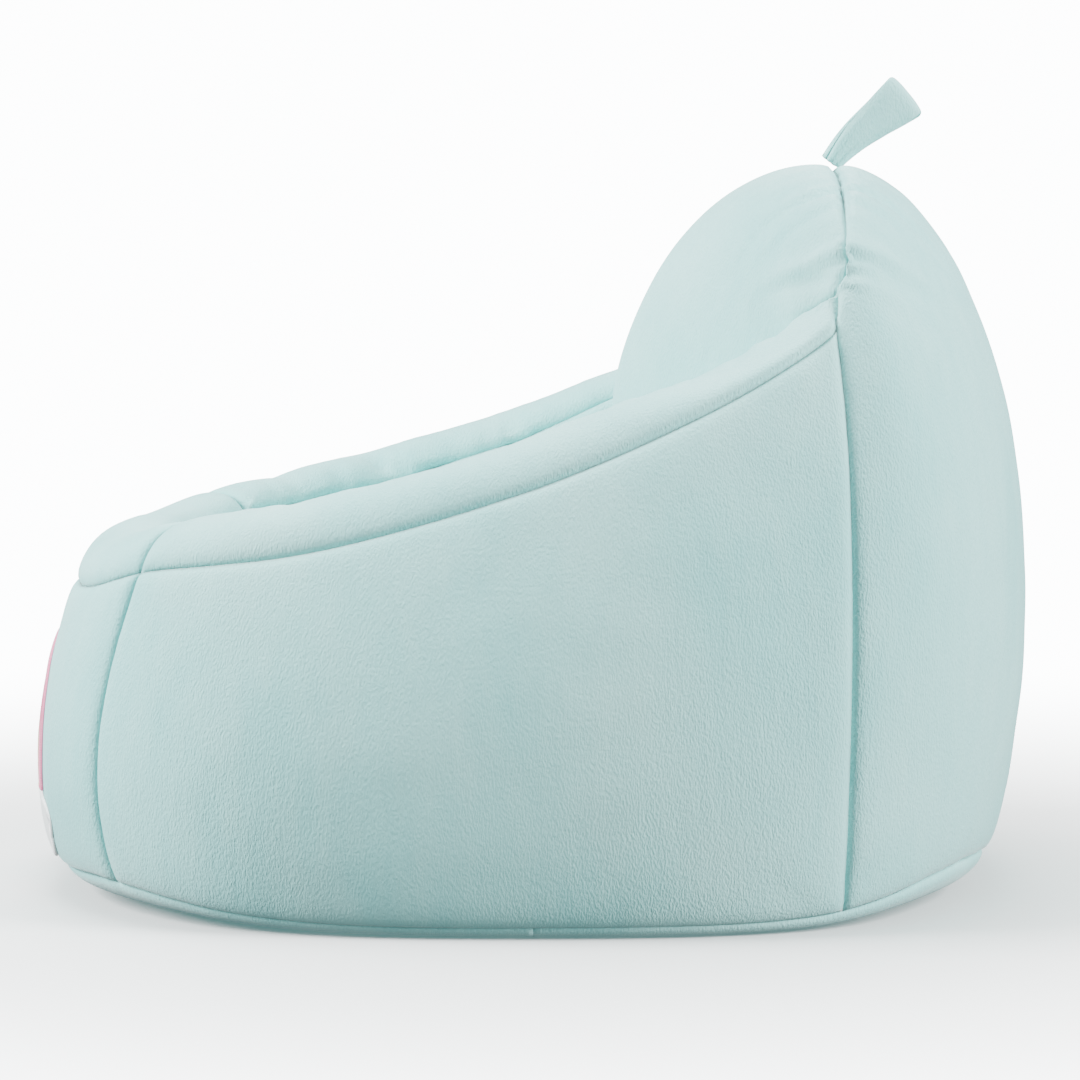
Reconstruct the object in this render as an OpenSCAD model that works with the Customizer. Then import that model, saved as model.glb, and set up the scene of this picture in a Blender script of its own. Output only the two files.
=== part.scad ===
// Child's bean bag armchair: a plush cover sewn from panels over a liner bag full of beans.
// The sitter faces -X, +Z is up, and the origin is on the floor under the middle of the chair.

/* [Base] */
// Base seam, from the middle to the front
base_front = 335; // [310:1:350]
// Base seam, from the middle to the back
base_back = 313; // [295:1:330]
// Half the width between the base seams
base_half = 293; // [275:1:300]

/* [Arms and front] */
// Height of the front seam under the front band
front_rim_z = 209; // [195:1:225]
// Height of the arm end, where arm and backrest meet
arm_end_z = 394; // [375:1:410]
// Distance of the arm end behind the middle
arm_end_x = 194; // [185:1:200]
// Half the distance between the arm seams at the middle of the arms
rim_half = 262; // [250:1:272]
// Distance of the front seam in front of the middle
rim_front = 326; // [310:1:335]
// Width of the front band, from its outer seam to its inner seam
front_band_w = 92; // [80:1:100]
// Width of an arm band, from its outer seam to its inner seam
arm_band_w = 74; // [64:1:82]

/* [Backrest] */
// Height of the top seam
arch_z = 497; // [480:1:520]
// Half the width between the ends of the top seam
arch_half = 205; // [195:1:215]
// How far the backrest cushion swells forwards
back_swell = 100; // [85:1:110]

/* [Seat] */
// Height of the middle of the seat
seat_z = 200; // [185:1:210]
// Half the width of the seat
seat_half = 165; // [150:1:172]

/* [Materials] */
// Thickness of the plush cover
cover_t = 2.4; // [1.6:0.1:3]
// Thickness of the liner bag
liner_t = 0.6; // [0.4:0.1:1]

/* [Zip] */
// Length of the zip opening in the base
zip_len = 400; // [300:10:420]
// Width of the slot that the zip shows in
slot_w = 16; // [14:1:20]

/* [Handle and rainbow] */
// Length of the carry loop
loop_len = 62; // [50:1:80]
// Width of the carry loop's strap
strap_w = 30; // [24:1:34]
// Outer radius of the rainbow
rainbow_r = 100; // [90:1:110]
// Width of each colour of the rainbow
rainbow_band = 15; // [12:1:16]

/* [Hidden] */

aqua = [0.80, 0.91, 0.91];
cloud_white = [0.95, 0.98, 0.98];

// Columns run round the chair at angle u: 0 is the middle of the back, 180 the middle of the front.
// Column 0 is the right back seam, and each panel spans a whole number of columns.
back_u = 40;          // angle of the back seams and arm ends
front_u = 138;        // angle of the front seams
back_cols = 12;
side_cols = 14;
cols = 2 * back_cols + 2 * side_cols;
left_back = back_cols;                // column of the left back seam
left_front = back_cols + side_cols;   // column of the left front seam
right_front = left_front + back_cols; // column of the right front seam

// Rows run up a column from the floor, over the rim and down to the seat.
rim_rows = 2;         // floor contact to base seam
wall_rows = 9;        // base seam to arm seam
band_rows = 4;        // arm seam to inner seam
inner_rows = 8;       // inner seam to seat seam
seam_row = rim_rows;
arm_row = seam_row + wall_rows;
crest_row = arm_row + band_rows;
seat_row = crest_row + inner_rows;

// ---- curves and blends ----

// A number that goes smoothly through stations [place, value], level at the first one.
function slope(s, i) = i == 0 ? 0 :
    let (j = min(i + 1, len(s) - 1)) (s[j][1] - s[i - 1][1]) / (s[j][0] - s[i - 1][0]);
function curve(s, q, i = 0) =
    q <= s[0][0] ? s[0][1] :
    q >= s[len(s) - 1][0] ? s[len(s) - 1][1] :
    q > s[i + 1][0] ? curve(s, q, i + 1) :
    let (h = s[i + 1][0] - s[i][0], t = (q - s[i][0]) / h)
    (2*t*t*t - 3*t*t + 1) * s[i][1] + (t*t*t - 2*t*t + t) * h * slope(s, i)
    + (3*t*t - 2*t*t*t) * s[i + 1][1] + (t*t*t - t*t) * h * slope(s, i + 1);

// Shares of the front, the sides and the back in what happens at angle u.
function shares(u) = let (
    f = pow(max(0, -cos(u)), 2),
    b = pow(cos(min(90, 90 * abs(u) / (1.35 * back_u))), 2)) [f, 1 - f - b, b];
function blend(front, side, back, u) = shares(u) * [front, side, back];

function power(v, p) = sign(v) * pow(abs(v), p);
// A rounded-rectangle outline seen from above, at angle a.
function plan(a, front, back, half, n = 2.5) =
    [(cos(a) < 0 ? front : back) * power(cos(a), 2 / n), half * power(sin(a), 2 / n), 0];
function unit(v) = v / norm(v);
function bezier(p, t) = pow(1 - t, 3) * p[0] + 3 * pow(1 - t, 2) * t * p[1]
    + 3 * (1 - t) * t * t * p[2] + t * t * t * p[3];
up = [0, 0, 1];

// ---- seam lines ----

// Angle on the base outline, and on the rim outline, of column angle u.
base_seam_a = 57;
rim_start_a = 51.3;
function spread_angle(u, start) = let (a = abs(u)) sign(u) * (a < back_u
    ? start * a / back_u : start + (180 - start) * (a - back_u) / (180 - back_u));

// The base seam stays near the floor at the sides and lifts at the corners.
base_lift = [[0, 18], [30, 24], [57, 3], [90, 0.5], [115, 4], [145, 19], [165, 16], [180, 16]];
function base_seam(u) = let (a = spread_angle(u, base_seam_a))
    plan(a, base_front, base_back, base_half, 2.65) + up * curve(base_lift, abs(a));
// Direction away from the chair at angle u, seen from above.
function outward(u) = let (p = plan(spread_angle(u, base_seam_a), base_front, base_back, base_half))
    unit([p.x / pow(1.08 * base_back, 2), p.y / pow(base_half, 2), 0]);

// Rise of the arm seam from the front to the arm end, as shares of length and height.
arm_rise = [[0, 0], [0.12, 0.11], [0.33, 0.2], [0.51, 0.34], [0.65, 0.47], [0.82, 0.7],
    [0.94, 0.89], [1, 1]];
rim_back = arm_end_x / power(cos(rim_start_a), 0.8);
function arm_seam(u) = let (
    p = plan(spread_angle(u, rim_start_a), rim_front, rim_back, rim_half),
    share = (p.x + rim_front) / (arm_end_x + rim_front))
    p + up * (front_rim_z + (arm_end_z - front_rim_z) * curve(arm_rise, share));
function rim_inward(u) = let (
    p = plan(spread_angle(u, rim_start_a), rim_front, rim_back, rim_half))
    -unit([p.x / pow(rim_front, 2), p.y / pow(rim_half, 2), 0]);

// The top seam arches from one arm end to the other.
arch_end = [arm_end_x + 3, arch_half, arm_end_z + 22];
function arch_seam(u) = let (a = 90 * u / back_u)
    [arch_end.x + 11 * cos(a), arch_half * sin(a),
        arch_end.z + (arch_z - arch_end.z) * pow(max(0, cos(a)), 0.9)];

// Full width of the band, from nearly nothing at the arm end.
function band_share(u) = let (e = min(1, (abs(u) - back_u) / 32)) sqrt(1 - (1 - e) * (1 - e));
// Height of the inner seam over the arm seam.
inner_rise = [[40, 0], [60, 2], [90, 10], [130, 14], [180, 22]];
function inner_seam(u) = abs(u) < back_u ? arch_seam(u) : let (
    k = band_share(u),
    tip = [arch_end.x - arm_end_x, -sign(u) * (arm_seam(back_u).y - arch_half), arch_end.z - arm_end_z],
    full = rim_inward(u) * blend(front_band_w, arm_band_w, 60, u) + up * curve(inner_rise, abs(u)))
    arm_seam(u) + tip * (1 - k) + full * k;

function seat_seam(u) = plan(u, 205, 88, seat_half, 2.6) + up * (seat_z - blend(10, 10, -5, u));

// ---- profile of one column ----

// Outer wall. Behind the back seams it runs on over the top to the arch seam.
// Half way up, the seams bow towards the front by the sway.
sway = [[0, 0], [40, 9], [70, 5], [110, 5], [138, 9], [180, 0]];
function wall(u, t) = let (
    b = base_seam(u), e = abs(u) < back_u ? arch_seam(u) : arm_seam(u), o = outward(u), h = e.z - b.z)
    sign(u) * cross(up, o) * curve(sway, abs(u)) * sin(180 * t)
    + bezier([b, b + o * blend(24, 22, 52, u) + up * 0.33 * h,
        e + o * blend(18, 37, 135, u) - up * h * blend(0.35, 0.35, 0.05, u), e], t);
// Share of the outer wall that is below the row of the arm seams.
function wall_share(u) = 1 - 0.05 - 0.1 * (1 - pow(abs(u) / back_u, 2));
// How plump the band is along its length.
band_rise = [[40, 0], [52, 0.1], [62, 0.45], [75, 1.1], [92, 1.22], [110, 1.25], [128, 0.95], [180, 1]];
function band(u, t) = let (
    a = arm_seam(u), i = inner_seam(u), in = rim_inward(u), k = band_share(u), lean = (i - a) * (1 - k) / 3,
    rise = up * k * curve(band_rise, abs(u)))
    bezier([a, a + lean + in * blend(0, 4, 4, u) * k + rise * blend(48, 32, 20, u),
        i - lean - in * blend(8, 10, 4, u) * k + rise * blend(34, 28, 20, u), i], t);
function swell(u) = pow(cos(min(90, 90 * abs(u) / (1.5 * back_u))), 1.2);
function inner(u, t) = let (
    i = inner_seam(u), s = seat_seam(u), w = swell(u), o = outward(u), in = rim_inward(u))
    bezier([i, i - o * 118 * w + up * (18 * w - 42 * (1 - w)) + in * 8 * (1 - w),
        s - o * back_swell * w + up * (112 * w + 28 * (1 - w)) + o * 6 * (1 - w), s], t);
function floor_point(u, share) = let (b = base_seam(u)) [b.x * share, b.y * share, 0];

function column(u) = concat(
    [floor_point(u, 0.84), floor_point(u, 0.93) + up * 0.3 * base_seam(u).z],
    abs(u) < back_u ? concat(
        [for (j = [0 : wall_rows]) wall(u, wall_share(u) * j / wall_rows)],
        [for (j = [1 : band_rows]) wall(u, wall_share(u) + (1 - wall_share(u)) * j / band_rows)])
    : concat(
        [for (j = [0 : wall_rows]) wall(u, j / wall_rows)],
        [for (j = [1 : band_rows]) band(u, j / band_rows)]),
    [for (j = [1 : inner_rows]) inner(u, j / inner_rows)]);

// Angle of column c, from -180 to 180.
function signed(u) = u > 180 ? u - 360 : u;
function column_u(c) = signed(
    c <= left_back ? -back_u + 2 * back_u * c / back_cols :
    c <= left_front ? back_u + (front_u - back_u) * (c - left_back) / side_cols :
    c <= right_front ? front_u + 2 * (180 - front_u) * (c - left_front) / back_cols :
    360 - front_u + (front_u - back_u) * (c - right_front) / side_cols);

// The outlines are centred on the widest part of the chair, which sits a little behind the origin.
shift = [4.4, 0, 0];
skin = [for (c = [0 : cols - 1]) [for (p = column(column_u(c))) p + shift]];
function wrap(c) = (c + cols) % cols;
function skin_normal(c, j) = j == 0 ? -up :
    let (around = skin[wrap(c + 1)][j] - skin[wrap(c - 1)][j])
    j == seat_row ? unit(unit(cross(around, skin[c][j] - skin[c][j - 1])) + up)
    : unit(cross(around, skin[c][j + 1] - skin[c][j - 1]));
normals = [for (c = [0 : cols - 1]) [for (j = [0 : seat_row]) skin_normal(c, j)]];
// The grid of points at a depth under the outside of the cover.
function layer(depth) = [for (c = [0 : cols - 1])
    [for (j = [0 : seat_row]) skin[c][j] - depth * normals[c][j]]];
cover_in = layer(cover_t);
liner_gap = 0.3;
liner_out = layer(cover_t + liner_gap);
liner_in = layer(cover_t + liner_gap + liner_t);
fill_out = layer(cover_t + 2 * liner_gap + liner_t);

// ---- discs: the seat and the base, each a patch stretched inside a ring ----

// Column on the ring of place (s, t) on the disc's border; s runs right to left, t back to front.
function ring_column(s, t) = t == 0 ? s : s == back_cols ? left_back + t :
    t == side_cols ? right_front - s : wrap(cols - t);
function on_border(s, t) = s == 0 || t == 0 || s == back_cols || t == side_cols;
function disc_point(grid, row, s, t, crown) =
    on_border(s, t) ? grid[ring_column(s, t)][row] :
    let (a = s / back_cols, b = t / side_cols,
        rear = grid[ring_column(s, 0)][row], front = grid[ring_column(s, side_cols)][row],
        right = grid[ring_column(0, t)][row], left = grid[ring_column(back_cols, t)][row],
        corners = (1 - b) * ((1 - a) * grid[0][row] + a * grid[left_back][row])
            + b * ((1 - a) * grid[right_front][row] + a * grid[left_front][row]))
    (1 - b) * rear + b * front + (1 - a) * right + a * left - corners
    + up * crown * 16 * a * (1 - a) * b * (1 - b);
function disc(grid, row, crown) =
    [for (s = [0 : back_cols]) [for (t = [0 : side_cols]) disc_point(grid, row, s, t, crown)]];
seat_crown = 12;

// ---- solids from grids ----

function flat(g) = [for (row = g) each row];
// Two triangles of the grid square at (i, j), in a grid with w points a column.
function square_faces(a, b, c, d) = [[a, d, c], [a, c, b]];
function turned(faces) = [for (f = faces) [f[2], f[1], f[0]]];

// A sheet of cloth between an outer and an inner grid of points, closed round its edge. Opposite
// edges are cut along the same diagonals, so that neighbouring sheets meet without a gap.
module sheet(outer, inner) {
    m = len(outer) - 1;
    n = len(outer[0]) - 1;
    w = n + 1;
    k = (m + 1) * w;
    top = [for (i = [0 : m - 1], j = [0 : n - 1])
        each square_faces(i*w + j, (i + 1)*w + j, (i + 1)*w + j + 1, i*w + j + 1)];
    under = [for (f = turned(top)) [f[0] + k, f[1] + k, f[2] + k]];
    ends = [for (j = [0 : n - 1]) each concat(
        square_faces(j + k, j, j + 1, j + 1 + k),
        square_faces(m*w + j + k, m*w + j + 1 + k, m*w + j + 1, m*w + j))];
    sides = [for (i = [0 : m - 1]) each concat(
        square_faces(i*w + k, (i + 1)*w + k, (i + 1)*w, i*w),
        square_faces((i + 1)*w + n, (i + 1)*w + n + k, i*w + n + k, i*w + n))];
    polyhedron(concat(flat(outer), flat(inner)), concat(top, under, ends, sides), convexity = 10);
}

// A piece of a grid: columns from c0, n of them, and rows j0 to j1.
function piece(grid, c0, n, j0, j1) =
    [for (i = [0 : n]) [for (j = [j0 : j1]) grid[wrap(c0 + i)][j]]];
module panel(c0, n, j0, j1) {
    color(aqua) sheet(piece(skin, c0, n, j0, j1), piece(cover_in, c0, n, j0, j1));
}

// Faces of a disc, facing up, whose ring is row `row` of a grid with w points a column.
function disc_index(s, t, w, row, first) = on_border(s, t)
    ? ring_column(s, t) * w + row : first + (s - 1) * (side_cols - 1) + t - 1;
function disc_faces(w, row, first) = [for (s = [0 : back_cols - 1], t = [0 : side_cols - 1])
    each square_faces(disc_index(s, t, w, row, first), disc_index(s + 1, t, w, row, first),
        disc_index(s + 1, t + 1, w, row, first), disc_index(s, t + 1, w, row, first))];
function disc_inside(grid, row, crown) = [for (s = [1 : back_cols - 1])
    for (t = [1 : side_cols - 1]) disc_point(grid, row, s, t, crown)];
function wall_faces(w) = [for (c = [0 : cols - 1], j = [0 : w - 2]) let (d = wrap(c + 1))
    each square_faces(c*w + j, d*w + j, d*w + j + 1, c*w + j + 1)];
// The closed solid inside a layer.
module body_within(grid) {
    w = seat_row + 1;
    seat_first = cols * w;
    base_first = seat_first + (back_cols - 1) * (side_cols - 1);
    polyhedron(
        concat(flat(grid), disc_inside(grid, seat_row, seat_crown), disc_inside(grid, 0, 0)),
        concat(wall_faces(w), disc_faces(w, seat_row, seat_first),
            turned(disc_faces(w, 0, base_first))),
        convexity = 10);
}

// ---- cover ----

module front_panel() { panel(left_front, back_cols, seam_row, arm_row); }
module side_panel_right() { panel(right_front, side_cols, seam_row, arm_row); }
module side_panel_left() { panel(left_back, side_cols, seam_row, arm_row); }
module back_panel() { panel(0, back_cols, seam_row, crest_row); }
module front_band() { panel(left_front, back_cols, arm_row, crest_row); }
module arm_band_right() { panel(right_front, side_cols, arm_row, crest_row); }
module arm_band_left() { panel(left_back, side_cols, arm_row, crest_row); }
module inner_wall_panel() { panel(left_back, 2 * side_cols + back_cols, crest_row, seat_row); }
module backrest_panel() { panel(0, back_cols, crest_row, seat_row); }
module seat_panel() {
    color(aqua) sheet(disc(skin, seat_row, seat_crown), disc(cover_in, seat_row, seat_crown));
}

// ---- base and zip ----

reach = 400;          // further than any part of the base
// The base disc with its edge turned up to the base seam.
module base_skin() {
    w = seam_row + 1;
    k = cols * w + (back_cols - 1) * (side_cols - 1);
    function points(grid) = concat(flat(piece(grid, 0, cols - 1, 0, seam_row)), disc_inside(grid, 0, 0));
    under = concat(wall_faces(w), turned(disc_faces(w, 0, cols * w)));
    edge = [for (c = [0 : cols - 1]) let (a = c*w + seam_row, b = wrap(c + 1)*w + seam_row)
        each square_faces(a, b, b + k, a + k)];
    polyhedron(concat(points(skin), points(cover_in)),
        concat(under, [for (f = turned(under)) [f[0] + k, f[1] + k, f[2] + k]], edge),
        convexity = 10);
}
module base_panel(side) {
    color(aqua) difference() {
        base_skin();
        translate([side > 0 ? -reach : 0, -reach, -1]) cube([reach, 2 * reach, 60]);
        translate([-slot_w / 2, -zip_len / 2, -1]) cube([slot_w, zip_len, 60]);
    }
}
module base_panel_front() { base_panel(-1); }
module base_panel_rear() { base_panel(1); }

tape_w = 15;
tape_t = 0.6;
chain_gap = 0.8;      // half the gap between the two coils
coil_w = 2.4;
coil_h = 2;
tape_z = cover_t + 0.05;
coil_z = tape_z + tape_t;
tape_len = zip_len + 24;
stop_len = 4;

module zip_tape(side) {
    color([0.86, 0.93, 0.93]) translate([side > 0 ? chain_gap : -tape_w, -tape_len / 2, tape_z])
        cube([tape_w - chain_gap, tape_len, tape_t]);
}
module zip_tape_front() { zip_tape(-1); }
module zip_tape_rear() { zip_tape(1); }
// The coil lies on the inner face of the tape: a half-round bar.
module zip_coil(side) {
    color([0.92, 0.95, 0.95]) translate([side * (chain_gap + coil_w / 2), 0, coil_z])
        rotate([90, 0, 0]) linear_extrude(zip_len - 2 * stop_len - 1, center = true)
            intersection() {
                scale([1, 2 * coil_h / coil_w]) circle(d = coil_w, $fn = 32);
                translate([-coil_w, 0]) square([2 * coil_w, coil_h]);
            }
}
module zip_coil_front() { zip_coil(-1); }
module zip_coil_rear() { zip_coil(1); }
module zip_end_stops() {
    color([0.75, 0.78, 0.78]) for (end = [-1, 1])
        translate([-4, end * (zip_len / 2 - stop_len / 2) - stop_len / 2, coil_z])
            cube([8, stop_len, coil_h]);
}

slider_len = 13;
slider_w = 11;
slider_z = 0.5;
slider_rest_y = -zip_len / 2 + stop_len + 1 + slider_len / 2;
plate_t = 1.3;
slider_top = coil_z + coil_h + 0.4;
// Two plates joined by a thin diamond that runs between the coils. It has no pull tab.
module slider_plate(z) {
    translate([0, 0, z]) linear_extrude(plate_t) hull() {
        translate([0, -slider_len / 2 + 3]) circle(r = 3, $fn = 32);
        for (side = [-1, 1]) translate([side * (slider_w / 2 - 2), slider_len / 2 - 2])
            circle(r = 2, $fn = 32);
    }
}
module zip_slider() {
    color([0.80, 0.82, 0.83]) translate([0, slider_rest_y, 0]) {
        slider_plate(slider_z);
        slider_plate(slider_top);
        translate([-0.5, -2, slider_z + plate_t / 2])
            cube([1, 5, slider_top - slider_z]);
    }
}

// ---- inside ----

channel_w = 34;
channel_z = slider_top + plate_t + 0.6;
module channel(grow) {
    translate([-channel_w / 2 - grow, -tape_len / 2 - 2 - grow, 0])
        cube([channel_w + 2 * grow, tape_len + 4 + 2 * grow, channel_z + grow]);
}
module inner_liner() {
    color([0.93, 0.93, 0.90]) difference() {
        union() {
            difference() {
                body_within(liner_out);
                body_within(liner_in);
            }
            intersection() {
                channel(liner_t);
                body_within(liner_out);
            }
        }
        channel(0);
    }
}
module bean_fill() {
    color([0.97, 0.97, 0.95]) difference() {
        body_within(fill_out);
        channel(liner_t + liner_gap);
    }
}

// ---- carry loop ----

loop_gap = 10;        // half the gap between the legs at the middle
loop_foot = 4;        // half the gap between the legs at the seam
foot_w = 9;           // width of a leg at the seam
strap_t = 2.6;
loop_steps = 28;
foot_lean = 25;       // degrees back from upright at the seam, and at the tip
tip_lean = 57;
bend_len = 13;        // length over which the strap bends back
loop_root = arch_seam(0) + shift + [0, 0, 5.6];
// Direction the strap grows in at a distance d from the seam, and the place it reaches.
function lean_at(d) = foot_lean + (tip_lean - foot_lean) * min(1, d / (2 * bend_len));
function loop_path(d) = d <= 0 ? loop_root :
    let (e = min(d, 2 * bend_len), steps = 6)
    loop_root + (d - e) * [sin(tip_lean), 0, cos(tip_lean)]
    + e / steps * sum([for (i = [0.5 : steps]) let (a = lean_at(e * i / steps)) [sin(a), 0, cos(a)]]);
function sum(v) = [for (i = [0 : 2]) [for (p = v) p[i]] * [for (p = v) 1]];
// The strap goes up one leg, round the tip and down the other as q runs from -1 to 1.
function loop_along(q) = loop_len * (1 - pow(abs(q), 2.2));
function loop_across(q) = sign(q) * (loop_foot * pow(abs(q), 3) + loop_gap * sin(180 * pow(abs(q), 0.8)));
function loop_side(q) = let (d = [loop_along(q + 0.01) - loop_along(q - 0.01),
    loop_across(q + 0.01) - loop_across(q - 0.01)]) unit([d.y, -d.x]);
function loop_width(q) = foot_w + (strap_w - foot_w) * (1 - pow(max(0, (abs(q) - 0.45) / 0.55), 2));
function loop_point(q, off, e) = let (
    n = loop_side(q), d = loop_along(q) + off * n.x, a = lean_at(d), w = e * loop_width(q))
    loop_path(d) + [-w * cos(a), loop_across(q) + off * n.y, w * sin(a)];
function loop_grid(off) = [for (i = [-loop_steps / 2 : loop_steps / 2])
    [for (e = [-0.5, 0, 0.5]) loop_point(1.97 * i / loop_steps, off, e)]];
module carry_handle() {
    color(aqua) sheet(loop_grid(strap_t / 2), loop_grid(-strap_t / 2));
}

// ---- care label, caught in the left back seam ----

label_w = 26;
label_t = 0.5;
label_caught = 1.6;   // how much of it is inside the seam
label_row = seam_row + 2;
// The label stands out of the seam over one row and curls towards the back.
function label_point(j, k, off) = let (
    back = unit(skin[left_back - 1][j] - skin[left_back + 1][j]))
    skin[left_back][j] + (k * label_w - label_caught) * normals[left_back][j]
    + (off + 9 * k * k) * back;
function label_grid(off) =
    [for (j = [label_row, label_row + 1]) [for (k = [0 : 0.25 : 1]) label_point(j, k, off)]];
module care_label() {
    color([0.96, 0.96, 0.94]) sheet(label_grid(-label_t / 2), label_grid(label_t / 2));
}

// ---- rainbow and clouds on the front panel ----

// Angle of the column that passes a distance y from the middle at the base seam.
function front_angle(y) = let (a = 180 - asin(pow(abs(y) / base_half, 1.25)),
    u = back_u + (180 - back_u) * (a - base_seam_a) / (180 - base_seam_a)) (y < 0 ? -1 : 1) * u;
function front_point(y, z) = let (u = front_angle(y), b = base_seam(u).z, e = arm_seam(u).z)
    wall(u, (z - b) / (e - b)) + shift;
function front_normal(y, z) =
    -unit(cross(front_point(y + 1, z) - front_point(y - 1, z),
        front_point(y, z + 1) - front_point(y, z - 1)));
function on_front(y, z, off) = front_point(y, z) + off * front_normal(y, z);

patch_lift = 0.2;
patch_t = 1.2;
rainbow_z = 72;       // height of the feet of the rainbow
arc_steps = 28;
module rainbow_arc(order, colour) {
    r = rainbow_r - order * rainbow_band;
    function arc_grid(off) = [for (i = [0 : arc_steps]) let (a = 180 * i / arc_steps)
        [for (d = [rainbow_band - 0.3, rainbow_band / 2, 0.3])
            on_front((r - d) * cos(a), rainbow_z + (r - d) * sin(a), off)]];
    color(colour) sheet(arc_grid(patch_lift + patch_t), arc_grid(patch_lift));
}
module rainbow_pink() { rainbow_arc(0, [0.95, 0.55, 0.70]); }
module rainbow_yellow() { rainbow_arc(1, [0.93, 0.91, 0.62]); }
module rainbow_green() { rainbow_arc(2, [0.85, 0.95, 0.85]); }
module rainbow_blue() { rainbow_arc(3, [0.70, 0.88, 0.92]); }

// A cloud: an oval with five round puffs, flat enough below to sit under the rainbow's foot.
cloud_y = 76;
cloud_z = 48;
cloud_steps = 40;
function cloud_edge(a) = let (puff = 1 + 0.13 * abs(cos(2.5 * (a - 90)))) [42 * puff * cos(a), 21 * puff * sin(a)];
// A fan of triangles from the cloud's middle, above and below.
module cloud(side) {
    n = cloud_steps;
    function ring(k, off) = [for (i = [0 : n - 1]) let (e = cloud_edge(360 * i / n))
        on_front(side * cloud_y + k * e.x, cloud_z + k * e.y, off)];
    function heart(off) = on_front(side * cloud_y, cloud_z, off);
    hi = patch_lift + patch_t;
    points = concat(ring(1, hi), ring(0.5, hi), ring(1, patch_lift), ring(0.5, patch_lift),
        [heart(hi), heart(patch_lift)]);
    faces = [for (i = [0 : n - 1]) let (j = (i + 1) % n) each concat(
        square_faces(i, j, n + j, n + i),
        square_faces(i, 2*n + i, 2*n + j, j),
        square_faces(2*n + i, 3*n + i, 3*n + j, 2*n + j),
        [[n + j, n + i, 4*n], [3*n + i, 3*n + j, 4*n + 1]])];
    color(cloud_white) polyhedron(points, turned(faces), convexity = 6);
}
module cloud_right() { cloud(-1); }
module cloud_left() { cloud(1); }

front_panel();
side_panel_right();
side_panel_left();
back_panel();
front_band();
arm_band_right();
arm_band_left();
inner_wall_panel();
seat_panel();
backrest_panel();
base_panel_front();
base_panel_rear();
zip_tape_front();
zip_tape_rear();
zip_coil_front();
zip_coil_rear();
zip_end_stops();
zip_slider();
carry_handle();
care_label();
inner_liner();
bean_fill();
rainbow_pink();
rainbow_yellow();
rainbow_green();
rainbow_blue();
cloud_right();
cloud_left();
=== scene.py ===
import math

import bmesh
import bpy
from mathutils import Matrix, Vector, kdtree, noise
from mathutils.bvhtree import BVHTree


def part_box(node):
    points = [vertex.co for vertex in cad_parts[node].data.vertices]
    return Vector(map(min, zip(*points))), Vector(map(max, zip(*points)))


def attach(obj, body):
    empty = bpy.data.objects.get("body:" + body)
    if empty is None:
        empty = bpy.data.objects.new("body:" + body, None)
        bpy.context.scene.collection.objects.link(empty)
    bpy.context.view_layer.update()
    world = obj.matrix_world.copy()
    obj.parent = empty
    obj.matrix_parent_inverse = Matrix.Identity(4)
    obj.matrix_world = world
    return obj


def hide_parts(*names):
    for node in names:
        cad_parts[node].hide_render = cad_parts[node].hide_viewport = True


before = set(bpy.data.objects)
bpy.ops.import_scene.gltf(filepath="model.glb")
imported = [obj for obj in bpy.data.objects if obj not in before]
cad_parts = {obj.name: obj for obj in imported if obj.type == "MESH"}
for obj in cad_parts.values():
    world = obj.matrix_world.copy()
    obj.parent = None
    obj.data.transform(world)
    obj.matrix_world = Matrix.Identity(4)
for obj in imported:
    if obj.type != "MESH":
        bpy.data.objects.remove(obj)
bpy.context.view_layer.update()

# The studio: a pale floor that fades out into a pale backdrop. Soft light comes from the chair's
# front, from above, from behind and a little from the side. The camera stands square to the
# chair's side, level with the top of the backrest, and looks slightly down.
CAMERA_PLACE = (0.0044, -3.2, 0.5)
CAMERA_DIP = 4.767772
LENS, SENSOR = 153.066667, 36.0

camera_data = bpy.data.cameras.new("camera")
camera_data.sensor_width = SENSOR
camera_data.lens = LENS
camera = bpy.data.objects.new("camera", camera_data)
camera.location = CAMERA_PLACE
camera.rotation_euler = (math.radians(90 - CAMERA_DIP), 0, 0)
bpy.context.scene.collection.objects.link(camera)
bpy.context.scene.camera = camera


def soft_light(name, place, aim, size, watts):
    data = bpy.data.lights.new(name, "AREA")
    data.shape = "RECTANGLE"
    data.size, data.size_y = size
    data.energy = watts
    light = bpy.data.objects.new(name, data)
    light.location = place
    light.rotation_euler = (Vector(aim) - Vector(place)).to_track_quat("-Z", "Y").to_euler()
    bpy.context.scene.collection.objects.link(light)


soft_light("front_light", (-2.6, -0.4, 1.4), (0, 0, 0.25), (1.4, 1.4), 250)
soft_light("top_light", (-0.2, 0.5, 2.7), (0, 0, 0.3), (1.8, 1.8), 140)
soft_light("back_light", (2.5, -1.1, 1.3), (0.1, 0, 0.3), (0.9, 1.6), 205)
soft_light("side_light", (0.5, -3.0, 2.2), (0, 0, 0.3), (2.4, 1.6), 4)

# The backdrop is brighter to the camera than it is as light on the chair.
BACKDROP_GLOW, SKY_GLOW = 14.0, 0.42
world = bpy.data.worlds.new("studio")
world.use_nodes = True
sky = world.node_tree.nodes["Background"]
sky.inputs["Color"].default_value = (0.96, 0.99, 1.0, 1)
seen = world.node_tree.nodes.new("ShaderNodeLightPath")
strength = world.node_tree.nodes.new("ShaderNodeMapRange")
strength.inputs["To Min"].default_value = SKY_GLOW
strength.inputs["To Max"].default_value = BACKDROP_GLOW
world.node_tree.links.new(seen.outputs["Is Camera Ray"], strength.inputs["Value"])
world.node_tree.links.new(strength.outputs["Result"], sky.inputs["Strength"])
bpy.context.scene.world = world

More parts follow.
